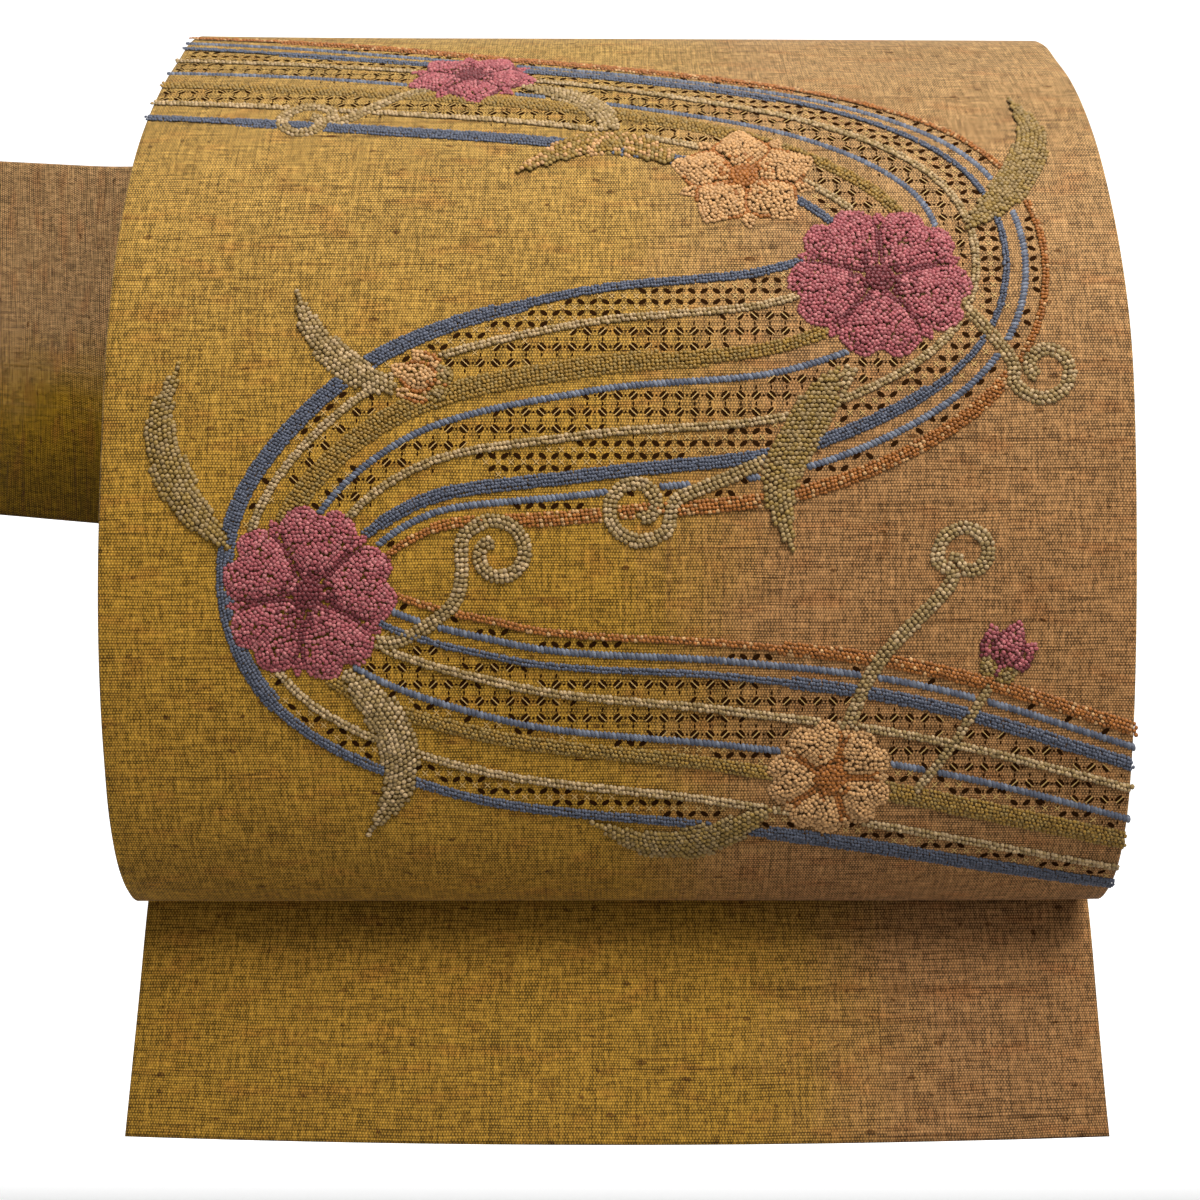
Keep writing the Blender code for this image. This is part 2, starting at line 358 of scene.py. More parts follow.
def silk(name, middle, soft, seed, dyes=(OCHRE, PINK_TAN), painted_shade=None, painted_sheen=None, creased=False):
    """Silk that turns from its first dye to its second about middle (mm across), over soft mm to
    each side. From start to end, in mm, painted shade darkens it to a share of its light, and a
    painted sheen of pale tan, at its share before start, fades out by end. Creased silk has soft
    slanting folds."""
    made, shader = new_material(name, 0.7, 0.05, specular=0.06)
    tree = made.node_tree
    place = Value(tree, tree.nodes.new("ShaderNodeUVMap").outputs[0])
    flat = place.node("VectorMath", {0: place, 1: (seed * 0.37, seed * 0.61, 0.0)}, operation="ADD")
    across, along = place.part(ACROSS), place.part(ALONG)
    weft_streak = flat.stretched(*WEFT_STREAK).noise()
    warp_streak = flat.stretched(*WARP_STREAK).noise()
    cloudy = flat.stretched(*CLOUD).noise()

    blend = across * (1 / MM) + (warp_streak - 0.5) * 22.0 + (cloudy - 0.5) * 40.0
    colour = blend.step(middle - soft, middle + soft).mix(*dyes)
    # Painted sheen: the drum's top ridge is paler, where the light falls on it.
    if painted_sheen:
        past = (along * (1 / MM)).step(painted_sheen.start, painted_sheen.end)
        colour = ((1.0 - past) * painted_sheen.share).mix(colour, RIDGE_SHEEN_TAN)
    rusty = flat.stretched(*RUSTY_PATCH).noise(1.0).step(0.52, 0.74) * 0.24
    colour = rusty.mix(colour, RUST)
    worn = (weft_streak * 0.5 + warp_streak * 0.5).step(0.50, 0.66) * 0.34
    weft_slub, warp_slub, long_slub, nubs = slubs(flat)
    brown = worn + weft_slub * 0.34 + warp_slub * 0.30 + long_slub * 0.28 + nubs * 0.66
    colour = brown.mix(colour, SLUB)
    # Painted highlight along the turned edges, where they catch the light.
    edge = across.math("ABSOLUTE", across) * (1 / MM)
    colour = (edge.step(HALF - 0.7, HALF - 0.2) * 0.7).mix(colour, EDGE_HIGHLIGHT)

    weft = flat.stretched(*WEFT_THREAD).noise(1.0)
    warp = flat.stretched(*WARP_THREAD).noise(1.0)
    fibre = flat.stretched(*FIBRE).noise(1.0)
    level = plain_weave(across, along, flat) * 1.5 + (weft + warp - 1.0) * 1.3 + (fibre - 0.5) * 1.2
    level = level + (cloudy - 0.5) * 0.3 + (warp_streak + weft_streak - 1.0) * 0.5 + 0.38
    level = level.math("MAXIMUM", level, 0.3)
    # Painted shade: the colour is darker from start to end.
    if painted_shade:
        sunk = (place.part(painted_shade.axis) * (1 / MM)).step(painted_shade.start, painted_shade.end)
        level = level * (1.0 - sunk * (1.0 - painted_shade.share))
    colour = colour.node("VectorMath", {0: colour, "Scale": level}, operation="SCALE")
    tree.links.new(colour.socket, shader.inputs["Base Color"])

    height = weft_slub + long_slub + nubs + warp_slub * 0.6
    if creased:
        slanted = place.node("CombineXYZ", {0: along * 120.0 + across * 30.0, 1: across * 7.0})
        height = height + slanted.noise(1.0) * 7.0
    bump = height.node("Bump", {"Height": height, "Strength": 0.4, "Distance": 0.0003})
    tree.links.new(bump.socket, shader.inputs["Normal"])
    return made


# %% [markdown]
# ## Cloth walls
# A sewn strip has a face, a lining and two turned edges, so its cross-section is a flat loop. Here a
# grid's columns go round that loop and its rows go down the strip, and the grid closes into a tube.
# That gives soft edges and a UV map in one go. Solidify and Bevel would also do, but they wouldn't
# let the cut ends close to a rounded hem.
#
# Each full-width stretch has its own place in the dye: where the gradient lies and how soft it is, in
# mm across. Its steps are the faces across the cloth, and the mm between two rows.

# %% Cloth's cross-section
EDGE_STEPS = 4  # faces round each turned edge


def cross_section(half, thick, face_steps):
    """(across, depth) round the loop in mm: down the edges by half circles, depth 0 at the face."""
    radius = thick / 2
    flat = half - radius
    face = [(x, 0.0) for x in np.linspace(-flat, flat, face_steps + 1)]
    turn = [math.pi * i / EDGE_STEPS for i in range(1, EDGE_STEPS)]
    right = [(flat + radius * math.sin(a), radius - radius * math.cos(a)) for a in turn]
    lining = [(x, thick) for x in np.linspace(flat, -flat, face_steps + 1)]
    left = [(-flat - radius * math.sin(a), radius + radius * math.cos(a)) for a in turn]
    return face + right + lining + left


def hem(distance, thick):
    """How thick the cloth is, as a share, at that distance from a rounded end."""
    part = min(max(distance / (thick / 2), 0.0), 1.0)
    return max(math.sqrt(1 - (1 - part) ** 2), 0.12)


# %% Cloth walls


def finished(name, bm, material):
    """Writes a bmesh into a new object of the scene."""
    mesh = bpy.data.meshes.new(name)
    bm.to_mesh(mesh)
    bm.free()
    mesh.materials.append(material)
    made = bpy.data.objects.new(name, mesh)
    bpy.context.scene.collection.objects.link(made)
    return made


def cloth(name, half, thick, rows, place, material, face_steps, hemmed=False):
    """A lined strip, its far end hemmed or cut square. rows are its lengths along in mm, and
    place(across, along) gives the points of its face, their normals and their directions."""
    section = cross_section(half, thick, face_steps)
    bm = bmesh.new()
    uv_map = bm.loops.layers.uv.new("strip")
    bmesh.ops.create_grid(bm, x_segments=len(section), y_segments=len(rows) - 1, size=0.5)
    across, depth, along = [], [], []
    for vertex in bm.verts:
        column = round((vertex.co.x + 0.5) * len(section)) % len(section)
        row = round((vertex.co.y + 0.5) * (len(rows) - 1))
        share = hem(rows[-1] - rows[row], thick) if hemmed else 1.0
        across.append(section[column][0])
        depth.append(thick / 2 + (section[column][1] - thick / 2) * share)
        along.append(rows[row])
    points, normals, _ = place(np.array(across), np.array(along))
    points = (points - normals * np.array(depth)[:, None]) * MM
    for vertex, point in zip(bm.verts, points):
        vertex.co = point
    bm.verts.index_update()
    for face in bm.faces:
        for loop in face.loops:
            i = loop.vert.index
            loop[uv_map].uv = (across[i] * MM, along[i] * MM)
    bmesh.ops.remove_doubles(bm, verts=bm.verts, dist=1e-7)
    bmesh.ops.holes_fill(bm, edges=[e for e in bm.edges if e.is_boundary], sides=0)
    bmesh.ops.recalc_face_normals(bm, faces=bm.faces)
    for face in bm.faces:
        face.smooth = len(face.verts) == 4
    return finished(name, bm, material)


# %% Full-width stretches
HEM_ROWS = (0.25, 0.6, 1.1)  # mm from an end to its close rows
HEM = 2.0  # mm from an end to its first plain row
SEAM = 0.15  # mm left free at each end of a stretch, so that each stays a piece of its own
GRADIENTS = {"drum_panel": (24, 34), "tare": (70, 38), "inner_fold": (50, 34), "drum_back": (20, 34)}
STEPS = {"drum_panel": (60, 3.0), "tare": (60, 3.0), "inner_fold": (40, 6.0), "drum_back": (126, 4.0)}


def rows_between(start, end, step):
    """Lengths from start to end about step apart, with a few close ones at both ends for a hem."""
    plain = np.linspace(start + HEM, end - HEM, max(int((end - start) / step), 4))
    return [start, *(start + c for c in HEM_ROWS), *plain, *(end - c for c in reversed(HEM_ROWS)), end]


stretches = {}
for name, (start, end) in strip.spans.items():
    middle, soft = GRADIENTS[name]
    across_steps, along_step = STEPS[name]
    # Painted shade darkens the tare towards its hem.
    painted_shade = PaintedShade(ALONG, end - 75.0, end - 5.0, 0.74) if name == "tare" else None
    # Painted sheen pales the drum panel's top ridge.
    painted_sheen = PaintedSheen(110.0, 330.0, 0.4) if name == "drum_panel" else None
    stretches[name] = cloth(
        name + "_silk", HALF, CLOTH, rows_between(start + SEAM, end - SEAM, along_step), strip.at,
        silk(name + "_dyed_silk", middle, soft, 0, painted_shade=painted_shade, painted_sheen=painted_sheen), across_steps,
        hemmed=name == "tare",
    )
print("stretches:", {name: len(piece.data.polygons) for name, piece in stretches.items()})

# %% [markdown]
# ## Folded band
# Round the waist and at the free end, the strip is folded in half lengthwise. Its path lies in plan,
# and its height stays upright. The same tube of grid makes it, laid by a path in place of a section.
# The free end also has one soft slanting fold, as silk has that was pulled through a tie.

# %% Band path
FOLD_ALONG = 543.0  # mm along the path to the fold's middle
FOLD_SLANT = 0.45  # how far the fold moves along to each mm across
FOLD_REACH = 17.0  # mm to each side over which it fades


class Path:
    """A band's path: points (x, y, z) of its outer face's middle line, and its fold's depth, in mm."""

    def __init__(self, points, fold=0.0):
        self.fold = fold
        self.points = np.array(points)
        steps = np.linalg.norm(np.diff(self.points, axis=0), axis=1)
        self.length = np.concatenate([[0.0], np.cumsum(steps)])

    def middle(self, along):
        return np.stack([np.interp(along, self.length, c) for c in self.points.T], axis=-1)

    def at(self, across, along):
        """As Strip.at, without its lift. Across is downwards."""
        ahead = self.middle(along + 0.5) - self.middle(along - 0.5)
        ahead[..., 2] = 0.0
        ahead /= np.linalg.norm(ahead, axis=-1, keepdims=True)
        out = np.cross(ahead, (0.0, 0.0, 1.0))
        points = self.middle(along) + out * self.waves(across, along)[..., None]
        points[..., 2] -= across
        return points, out, ahead

    def waves(self, across, along):
        """How far the silk stands off its path, in mm: it ripples a little, and sinks in the fold."""
        fold = np.exp(-(((along - FOLD_ALONG - FOLD_SLANT * across) / FOLD_REACH) ** 2))
        return 0.35 * np.sin(along / 31.0 + across / 60.0) - self.fold * fold


# %% Turns round the waist
BAND = 3.2  # thickness of the folded strip, mm
WAIST = (135.0, 110.0)  # half sizes of the oval inside the band, mm
TURN_STEP = BAND + 0.4  # mm from one turn to the next


def turn_points(first):
    """One turn round the waist, from the middle of the wearer's back. The first is turn 0."""
    points = []
    for turns in np.linspace(first, first + 1, 181):
        angle = math.radians(360.0 * turns - 90.0)
        out = TURN_STEP * turns + BAND
        points.append(((WAIST[0] + out) * math.cos(angle), (WAIST[1] + out) * math.sin(angle), 0.0))
    return points


# %% Free end
BACK_SPACE = 10.2  # mm between the two legs of its turn
LOOP_X = 152.0  # where it turns, mm to the right
FREE_LENGTH = 470.0  # from that turn to its hem, mm
LIFT_START = 187.0  # mm from the turn to where it starts to rise
LIFT_SLOPE = 0.091
BEND_START = 312.0  # mm from the turn to where it starts to lean towards the body
BEND_DEGREES = 9.0
EASE = 40.0  # mm over which both set in


def eased(along, start, length):
    """The integral of a slope that grows from 0 to 1 over a stretch and then stays."""
    inside = min(max(along - start, 0.0), length)
    return inside**2 / (2 * length) + max(along - start - length, 0.0)


def free_end_points():
    """Out to the right behind the drum, round a tight turn, and back to the left."""
    near_y = -(WAIST[1] + 2 * TURN_STEP + BAND)
    points = [(x, near_y, 0.0) for x in np.linspace(0.3, LOOP_X, 12)]
    for angle in np.linspace(0.0, math.pi, 25)[1:]:
        turned = (math.sin(angle) * BACK_SPACE / 2, (math.cos(angle) - 1.0) * BACK_SPACE / 2)
        points.append((LOOP_X + turned[0], near_y + turned[1], 0.0))
    for along in np.linspace(0.0, FREE_LENGTH, 90)[1:]:
        back = math.tan(math.radians(BEND_DEGREES)) * eased(along, BEND_START, EASE)
        rise = LIFT_SLOPE * eased(along, LIFT_START, EASE)
        points.append((LOOP_X - along, near_y - BACK_SPACE + back, rise))
    return points


# %% Bands
BAND_HALF = 74.5  # half of the folded strip's width, mm
bands = {
    "waist_wrap_inner": Path(turn_points(0)),
    "waist_wrap_outer": Path(turn_points(1)),
    "te": Path(free_end_points(), fold=4.5),
}
# Painted shade darkens each band towards its lower edge.
low_painted_shade = PaintedShade(ACROSS, 22.0, 66.0, 0.5)
for name, path in bands.items():
    rows = rows_between(SEAM, path.length[-1] - SEAM, 4.0)
    dyed = silk(name + "_dyed_silk", 12, 26, 1, (GREY_TAN, OLIVE), low_painted_shade, creased=name == "te")
    stretches[name] = cloth(
        name + "_silk", BAND_HALF, BAND, rows, path.at, dyed, 24, hemmed=name == "te"
    )
print("bands:", {name: round(path.length[-1], 1) for name, path in bands.items()})

# %% [markdown]
# ## Embroidery plan
# The drum carries running water, with blossoms, leaves and tendrils over it, all knotted by hand. One
# base line leads the water across the strip with two turns. Every bank and current is that line,
# moved sideways by its own offset, which swells and narrows on the way. Drawing each line by itself
# would need many more points, and the lines would cross where the water turns.

# %% Curves on the strip
Line = namedtuple("Line", "across along heading")


def evenly(dense, step):
    """A line given by many points, resampled at equal steps."""
    length = np.concatenate([[0.0], np.cumsum(np.linalg.norm(np.diff(dense, axis=0), axis=1))])
    at = np.linspace(0.0, length[-1], max(int(round(length[-1] / step)), 2) + 1)
    across, along = (np.interp(at, length, column) for column in dense.T)
    return Line(across, along, np.arctan2(np.gradient(along), np.gradient(across)))


def curve(points, step=1.0):
    """A smooth line through (across, along) points, as arrays at equal steps."""
    rows = np.array(points, float)
    ends = np.vstack([2 * rows[0] - rows[1], rows, 2 * rows[-1] - rows[-2]])
    t = np.linspace(0.0, 1.0, FINE, endpoint=False)[:, None]
    pieces = []
    for p0, p1, p2, p3 in zip(ends[:-3], ends[1:-2], ends[2:-1], ends[3:]):
        bend = 2 * p0 - 5 * p1 + 4 * p2 - p3
        pieces.append(p1 + 0.5 * t * (p2 - p0 + t * (bend + t * (3 * (p1 - p2) + p3 - p0))))
    return evenly(np.vstack(pieces + [rows[-1:]]), step)


def beside(line, offset):
    """The line moved to its left side by mm, which may differ from point to point."""
    moved = [line.across + np.sin(line.heading) * offset, line.along - np.cos(line.heading) * offset]
    return np.stack(moved, axis=1)


# %% The water's base line
WATER = curve(
    [(-200, 122), (-130, 128), (-66, 138), (0, 151), (58, 171), (95, 202), (94, 240), (53, 263),
     (-8, 271), (-62, 284), (-93, 314), (-84, 348), (-34, 367), (34, 374), (98, 384), (200, 412)]
)
# The water's share goes from 0 at its start to 1. It narrows at its second turn and in its last reach.
water_share = np.linspace(0.0, 1.0, len(WATER.across))
second_turn = np.exp(-(((water_share - 0.62) / 0.06) ** 2))
last_reach = np.clip((water_share - 0.72) / 0.2, 0.0, 1.0)
swell = 1.0 + 0.14 * np.sin(water_share * 15.0 + 0.6) - 0.20 * second_turn
swell = swell - 0.26 * last_reach
print("water, mm:", len(WATER.across) - 1)

# %% [markdown]
# ## Knots
# A knot is a thread wound round the needle and pulled tight: a small lump of two strands, under 2 mm
# across. Wound more often, it is a longer one, and a row of those looks like a rope. Hand-made knots
# crowd and tilt, so each gets a little of its own size, slant and place. `Needlework` remembers where
# each one is, and doesn't sew one where there is no room. What is on top is therefore sewn first.

# %% Needlework
KNOT = 1.75  # mm across
KNOT_PITCH = 1.5  # mm from knot to knot in a row
ROW_PITCH = 1.34  # mm from row to row
CELL = 4  # mm, the side of the squares that places are remembered by
TRACK_STEP = 0.25  # mm between the points of a row's track
ROPE_PITCH = 1.3  # mm from one long knot of a rope to the next
ROPE_REACH = 1.1  # mm kept free round it


class Needlework:
    """The knots, openings and bars, by their places on the strip in mm."""

    def __init__(self, seed):
        self.cells = {}
        self.items = {}
        self.covered = []
        self.random = random.Random(seed)

    def under(self, across, along):
        """Whether a place is under a flower's heart, where nothing else shows between its petals."""
        return any(math.hypot(across - x, along - y) < reach for x, y, reach in self.covered)

    def room(self, across, along, reach):
        """Whether nothing lies within reach."""
        column, row = self.cell(across, along)
        for i in (-1, 0, 1):
            for j in (-1, 0, 1):
                for x, y in self.cells.get((column + i, row + j), ()):
                    if math.hypot(across - x, along - y) < reach:
                        return False
        return True

    def cell(self, across, along):
        return int(across // CELL), int(along // CELL)

    def claims(self, across, along, reach):
        """Takes a place for a knot, if it is on the cloth and there is room."""
        if abs(across) > HALF + 0.2 or along < 3.0 or not self.room(across, along, reach):
            return False
        self.cells.setdefault(self.cell(across, along), []).append((across, along))
        return True

    def add(self, kind, across, along, turn, size, lift=0.0):
        """Puts one item down. turn is from the direction across towards that along, size (x, y, z)."""
        self.items.setdefault(kind, []).append((across, along, turn, *size, lift))

    def knot(self, colour, across, along, heading, lift=0.0, fine=1.0, reach=1.16):
        """Sews a knot with its thread slanting over the heading, if there is room for it. fine is
        its size as a share of a plain knot's."""
        if not self.claims(across, along, reach * fine):
            return
        size = KNOT * fine * self.random.uniform(0.86, 1.08)
        slant = heading + math.radians(52 + self.random.uniform(-34, 34))
        shape = (size * 1.10, size * 0.88, size * self.random.uniform(0.85, 1.2))
        across += self.random.uniform(-0.18, 0.18)
        along += self.random.uniform(-0.18, 0.18)
        self.add(colour, across, along, slant, shape, lift + self.random.uniform(-0.12, 0.16))

    def band(self, colours, points, width, thin=1.0, fine=1.0):
        """Rows of knots side by side along a line. Its width in mm thins to that share and back."""
        pitch, gap = KNOT_PITCH * fine, ROW_PITCH * fine
        line = evenly(points, 0.5)
        share = np.linspace(0.0, 1.0, len(line.across))
        wide = width * (1 - (1 - thin) * (0.5 + 0.5 * np.cos(share * 17.0)))
        rows = max(round(width / gap), 1)
        if rows == 1:
            self.rope(colours, points)
            return
        for row in range(rows):
            offset = (row - (rows - 1) / 2) * gap
            track = evenly(beside(line, offset), TRACK_STEP)
            reach = np.interp(np.linspace(0.0, 1.0, len(track.across)), share, wide) / 2
            for i in range(3 * (row % 2), len(track.across), round(pitch / TRACK_STEP)):
                if self.under(track.across[i], track.along[i]):
                    continue
                if abs(offset) <= max(reach[i], 0.4 * gap):
                    colour = self.random.choice(colours)
                    mound = 0.5 * (1 - (offset / max(reach[i], gap)) ** 2)
                    self.knot(colour, track.across[i], track.along[i], track.heading[i], mound, fine)

    def rope(self, colours, points):
        """One row of long knots that lean over the line, like the turns of a cord."""
        for across, along, heading in zip(*evenly(points, ROPE_PITCH)):
            if not self.under(across, along) and self.claims(across, along, ROPE_REACH):
                slant = heading + math.radians(60 + self.random.uniform(-9, 9))
                shape = (2.9, 1.62, self.random.uniform(1.7, 2.0))
                self.add(self.random.choice(colours), across, along, slant, shape)


sewn = Needlework(5)

# %% [markdown]
# ## Blossoms
# Five petals, each a field of knots in rings that follow the petal's outline inwards. The rings come
# first, and then every place between them that still has room, so no cloth shows. The middle rises a
# little, as padding makes it do. The groove between two petals does what a drawn outline would.

# %% Petal outlines
NOTCHED = [
    (0.09, 0.03), (0.25, 0.165), (0.45, 0.305), (0.62, 0.385), (0.80, 0.395), (0.94, 0.29), (1.0, 0.14),
    (0.91, 0.0),
]
POINTED = [(0.08, 0.02), (0.25, 0.165), (0.44, 0.295), (0.62, 0.29), (0.82, 0.16), (1.00, 0.0)]
print("outline points, notched and pointed:", len(NOTCHED), len(POINTED))

# %% Petals
GRAIN = 0.4  # mm between the places that are tried for a knot
FIRST_RING = 0.65  # mm from the outline
RING_PITCH = 1.1  # mm from one ring of knots to the next


def inside(outline, places):
    """Which places lie inside a closed outline. A line to the right of one crosses it an odd
    number of times."""
    x, y = places[:, 0, None], places[:, 1, None]
    x1, y1 = outline.T
    x2, y2 = np.roll(outline, -1, axis=0).T
    spans = (y1 > y) != (y2 > y)
    crossing = x1 + (y - y1) * (x2 - x1) / np.where(y2 == y1, 1e-9, y2 - y1)
    return (spans & (x < crossing)).sum(axis=1) % 2 == 1


def petal(centre, turn, length, outline, tones, width=1.0, squash=1.0, start=0.0):
    """One petal of knots. outline is half of it, as (out, aside) shares of its length. The petal
    begins start mm from the centre, and tones are its dark, plain and light thread."""
    half = np.array(outline) * (length, length * width) + (start, 0.0)
    whole = curve(np.vstack([half, half[::-1][1:] * (1, -1)]), GRAIN)
    spin = np.array([[math.cos(turn), math.sin(turn)], [-math.sin(turn), math.cos(turn)]])
    edge = (np.stack([whole.across, whole.along], axis=1) @ spin) * (1.0, squash) + centre
    low, high = edge.min(axis=0), edge.max(axis=0)
    grid = np.meshgrid(np.arange(low[0], high[0], GRAIN), np.arange(low[1], high[1], GRAIN))
    places = np.stack(grid, axis=-1).reshape(-1, 2)
    places = places[inside(edge, places)]
    gaps = np.sqrt(((places[:, None, :] - edge[None, :, :]) ** 2).sum(axis=2)).min(axis=1)
    rings = np.round((gaps - FIRST_RING) / RING_PITCH)
    off_ring = np.abs(gaps - FIRST_RING - RING_PITCH * rings) > 0.25
    middle = places.mean(axis=0)
    angles = np.arctan2(places[:, 1] - middle[1], places[:, 0] - middle[0])
    dark, plain, light = tones  # dark in the grooves and near the heart, light here and there
    for i in np.lexsort((angles, rings, off_ring)):
        if gaps[i] < 0.5:
            continue
        out = math.hypot(places[i, 0] - centre[0], (places[i, 1] - centre[1]) / squash)
        out /= length + start
        pick = sewn.random.random()
        tone = light if pick > 0.70 else plain
        if (gaps[i] < 1.0 and out < 0.8) or pick < 1.05 - 2.3 * out:
            tone = dark
        padding = min(gaps[i] * 0.3, 1.3)
        sewn.knot(tone, *places[i], sewn.random.uniform(0, 3.1), padding, 0.9, 1.12)


# %% Blossoms and buds
HEART_PITCH = 1.3  # mm from one ring of a flower's heart to the next
PETALS = 5


def blossom(centre, radius, turn, outline, tones, squash=1.0, width=1.0):
    """Petals round a small dark heart. squash flattens it, as if it were seen from aside."""
    for ring in range(4):
        for i in range(max(6 * ring, 1)):
            angle = i * math.pi / 3 / max(ring, 1)
            across = centre[0] + HEART_PITCH * ring * math.cos(angle)
            along = centre[1] + HEART_PITCH * ring * math.sin(angle)
            sewn.knot(tones[0], across, along, angle, 1.2 - 0.15 * ring)
    for i in range(PETALS):
        petal(centre, turn + i * 2 * math.pi / PETALS, radius, outline, tones, width * 1.1, squash)
    behind = (tones[0], tones[1], tones[1])
    for i in range(PETALS):
        between = turn + (i + 0.5) * 2 * math.pi / PETALS
        petal(centre, between, radius * 0.5, POINTED, behind, 0.8, squash, radius * 0.46)
    sewn.covered.append((*centre, radius * 0.62))


def bud(centre, turn, length, tones):
    """Three pointed petals that are still closed, in a small green cup."""
    for side in (-0.75, 0.75):
        petal(centre, turn + side, length * 0.42, POINTED, ("olive", "khaki", "khaki"), 1.1)
    petal(centre, turn, length, POINTED, tones, 0.85)
    for side in (-0.44, 0.44):
        petal(centre, turn + side, length * 0.88, POINTED, tones, 0.75)


# %% Flowers on the drum
PINKS = ("wine", "pink", "pale_pink")
PEACHES = ("rust", "peach", "peach")
blossom((80, 232), 28, 0.35, NOTCHED, PINKS, 0.95)
blossom((40, 192), 24, 0.9, POINTED, PEACHES, 0.95, 1.2)
blossom((-92, 330), 26, 1.1, NOTCHED, PINKS)
blossom((-50, 130), 23, 0.2, POINTED, PINKS, 0.95, 1.2)
blossom((64, 386), 19, 0.6, NOTCHED, PEACHES, 0.95)
bud((-50, 268), math.pi + 0.35, 20, PEACHES)
bud((112, 356), -1.15, 20, PINKS)
print("knots in blossoms:", sum(len(items) for items in sewn.items.values()))

# %% [markdown]
# ## Leaves and tendrils
# A leaf is rows of knots beside a curved spine, as many as its width lets in. A tendril is a narrow one
# that ends in a curl. The spiral that closes it shrinks as it turns, as a fern's does.

# %% Leaves


def leaf(points, width, colours):
    """Rows of knots along a spine, widest a little before the middle, with pointed ends."""
    spine = curve(points, TRACK_STEP)
    share = np.linspace(0.0, 1.0, len(spine.across))
    reach = width / 2 * np.sin(math.pi * share**0.8) ** 0.85
    count = int(width / 2 / ROW_PITCH)
    for row in range(-count, count + 1):
        track = beside(spine, row * ROW_PITCH)
        lift = 0.9 * (1 - (row / (count + 0.5)) ** 2)
        for i in range(3 * (row % 2), len(share), round(KNOT_PITCH / TRACK_STEP)):
            if abs(row * ROW_PITCH) <= reach[i]:
                colour = sewn.random.choice(colours)
                sewn.knot(colour, track[i, 0], track[i, 1], spine.heading[i], lift)


def curl(centre, radius, start, turns, lead):
    """A tendril's line: through lead, then a spiral inwards about centre. start is in degrees."""
    spiral = []
    for part in np.linspace(0.0, 1.0, 10):
        angle = math.radians(start + 360 * turns * part)
        shrunk = radius * (1 - 0.68 * part)
        spiral.append((centre[0] + shrunk * math.cos(angle), centre[1] + shrunk * math.sin(angle)))
    return curve([*lead, *spiral], 0.5)


def tendril(line, width, colours):
    """A narrow band of knots along a line."""
    sewn.band(colours, np.stack([line.across, line.along], axis=1), width)


# %% Leaves on the drum
KHAKI = ["khaki", "khaki", "cream"]
GREENS = ["olive", "khaki"]
leaf([(66, 262), (56, 280), (48, 298), (52, 318)], 13, GREENS)
leaf([(108, 214), (124, 196), (134, 172), (130, 148)], 12, GREENS)
leaf([(20, 186), (2, 176), (-14, 178), (-32, 190)], 12, ["peach", "olive", "gold"])
leaf([(-116, 316), (-130, 300), (-137, 280), (-132, 260)], 11, GREENS)
leaf([(-82, 352), (-68, 370), (-66, 388), (-76, 404)], 12, KHAKI)
leaf([(46, 396), (28, 406), (10, 408), (-8, 400)], 11, GREENS)
leaf([(-32, 140), (-14, 148), (-4, 162), (-2, 180)], 10, KHAKI)
leaf([(-64, 270), (-80, 262), (-92, 250), (-98, 236)], 9, KHAKI)

# %% Tendrils on the drum
tendril(curl((6, 304), 12, -10, 1.25, [(70, 262), (58, 282), (36, 294)]), 4.6, KHAKI)
tendril(curl((128, 262), 11, 200, -1.2, [(94, 224), (104, 240)]), 3.4, KHAKI)
tendril(curl((-36, 318), 12, 150, 1.3, [(-82, 342), (-66, 344), (-50, 334)]), 4.6, KHAKI)
tendril(curl((104, 318), 10, 120, 1.2, [(68, 372), (78, 350)]), 3.4, KHAKI)
tendril(curl((-102, 164), 11, 0, -1.2, [(-58, 138), (-74, 148)]), 3.4, KHAKI)
tendril(curve([(111, 358), (105, 368), (99, 378), (90, 390)], 0.5), 2.8, KHAKI)
print("knots with leaves and tendrils:", sum(len(items) for items in sewn.items.values()))

# %% [markdown]
# ## Water
# The banks are wide bands, the currents narrow ones. They are sewn last, so that they pass under the
# flowers. Each is a row of a table: how far it lies from the base line and drifts to each side, its
# width and the share that this thins to, the size of its knots, and its threads. The first three are
# in mm, and the offset also follows the water's swell.

# %% Water bands
Current = namedtuple("Current", "offset drift width thin fine colours")
CURRENTS = [
    Current(-31.0, 0.0, 5.4, 0.5, 0.74, ["blue"]),
    Current(-21.5, 0.8, 2.8, 0.5, 0.9, ["cream", "cream", "khaki"]),
    Current(-9.0, 1.2, 6.8, 0.6, 0.8, ["gold", "gold", "olive"]),
    Current(-1.0, 1.0, 1.9, 1.0, 1.0, ["blue", "blue", "pale_blue"]),
    Current(10.5, 1.0, 2.8, 0.5, 0.9, ["cream", "khaki"]),
    Current(20.5, 0.6, 4.1, 0.5, 0.74, ["blue"]),
    Current(26.0, 0.3, 1.9, 1.0, 1.0, ["pale_blue", "blue"]),
    Current(32.0, 0.0, 4.2, 0.6, 0.8, ["rust"] * 7 + ["peach"]),
]
for line in CURRENTS:
    aside = line.offset * swell + line.drift * np.sin(water_share * 23.0 + line.offset)
    track = evenly(beside(WATER, aside), 1.0)
    points = np.stack([track.across, track.along], axis=1)
    sewn.band(line.colours, points, line.width, line.thin, line.fine)
print("knots in all:", {kind: len(items) for kind, items in sewn.items.items()})

# %% [markdown]
# ## Drawn-thread work
# Between some of the currents, threads are drawn out of the weave and the rest are bound into a
# lattice. It keeps to the weave, so the lattice is square to the strip and only its outline follows
# the water. Each opening is a small dark lens laid on the cloth, painted shadow in place of a hole,
# and each bound thread a pale bar over it.
#
# A lattice fills the water between two offsets from its base line, from one share of its length to
# another.

